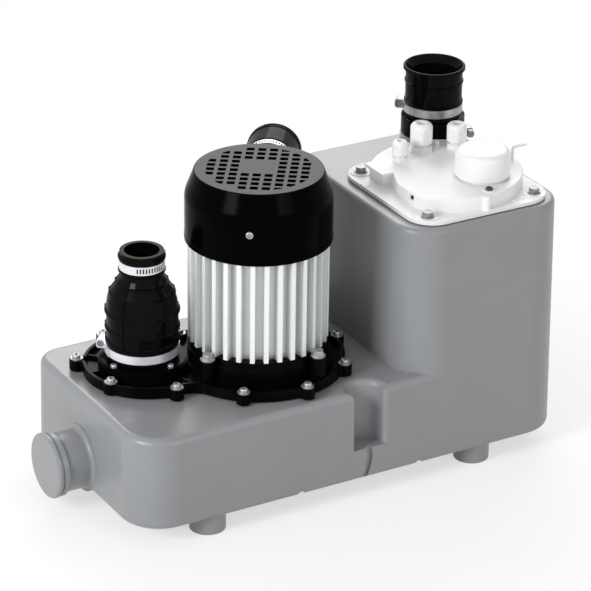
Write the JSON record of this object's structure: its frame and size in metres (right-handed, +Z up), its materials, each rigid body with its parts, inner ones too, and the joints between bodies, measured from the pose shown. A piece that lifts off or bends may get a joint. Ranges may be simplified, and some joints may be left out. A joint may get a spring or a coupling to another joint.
{
  "type": "grey water pump",
  "caption": "Compact lifting pump for grey water: moulded tank, fan-cooled motor on a lobed plate, rubber discharge cone and white control cover.",
  "frame": {"origin": "middle of the whole object's footprint, on the floor under the feet", "axes": "+X towards the tall end of the tank with the control cover, +Y to the back, +Z up"},
  "size_m": [0.5495, 0.2915, 0.3754],
  "materials": {
    "tank_polymer": "satin moulded",
    "black_polymer": "satin moulded",
    "cover_black": "semi-gloss",
    "hose_rubber": "semi-gloss",
    "seal_rubber": "matt",
    "aluminium": "extruded",
    "steel": "zinc plated",
    "dark_steel": "dark plated",
    "band_steel": "stainless",
    "lamination": "stacked sheet",
    "copper": "lacquered wire",
    "brass": "turned",
    "white_polymer": "satin moulded",
    "board": "coated"
  },
  "bodies": {
    "unit": {"tank": "tank_polymer", "plate_gasket": "seal_rubber", "pump_plate": "black_polymer", "plate_screws": "steel", "washers": "steel", "motor_base": "black_polymer", "motor_base_bolts": "steel", "motor_housing": "aluminium", "stator_core": "lamination", "stator_windings": "copper", "lower_bearing": "steel", "upper_bearing": "steel", "upper_end_shield": "aluminium", "shaft_seal": "seal_rubber", "fan_cover": "cover_black", "cross_head_screws": "steel", "volute_casing": "black_polymer", "discharge_duct": "black_polymer", "suction_cover": "black_polymer", "suction_strainer": "black_polymer", "volute_screws": "steel", "valve_body": "black_polymer", "flap_pin": "steel", "valve_screws": "steel", "discharge_cone": "hose_rubber", "cone_upper_clamp": "band_steel", "cone_lower_clamp": "band_steel", "inlet_upper_clamp": "band_steel", "inlet_lower_clamp": "band_steel", "rear_clamp": "band_steel", "clamp_screws": "steel", "inlet_sleeve": "hose_rubber", "riser_elbow": "black_polymer", "riser_seal": "seal_rubber", "rear_sleeve": "hose_rubber", "control_gasket": "seal_rubber", "control_plate": "white_polymer", "control_bolts": "dark_steel", "control_box": "white_polymer", "small_gland_body": "white_polymer", "small_gland_nut": "white_polymer", "large_gland_body": "white_polymer", "large_gland_nut": "white_polymer", "middle_gland_body": "white_polymer", "middle_gland_nut": "white_polymer", "gland_seals": "seal_rubber", "level_cap": "white_polymer", "level_membrane": "seal_rubber", "level_switch": "black_polymer", "dip_tube": "white_polymer", "circuit_board": "board", "run_capacitor": "aluminium", "vent_elbow": "white_polymer"},
    "rotor": {"rotor_core": "lamination", "motor_shaft": "steel", "cooling_fan": "black_polymer", "impeller": "black_polymer", "impeller_nut": "brass"},
    "flap": {"valve_flap": "seal_rubber"},
    "plunger": {"level_plunger": "white_polymer"}
  },
  "joints": [
    {"name": "rotor_spin", "type": "hinge", "parent": "unit", "child": "rotor", "pos_m": [-0.0398, -0.03609, 0.156], "axis": [0, 0, 1], "continuous": true},
    {"name": "flap_swing", "type": "hinge", "parent": "unit", "child": "flap", "pos_m": [-0.1304, 0.00191, 0.1518], "axis": [0, 1, 0], "range_deg": [0, 65]},
    {"name": "plunger_travel", "type": "slide", "parent": "unit", "child": "plunger", "axis": [0, 0, 1], "range_m": [0, 0.002]}
  ]
}
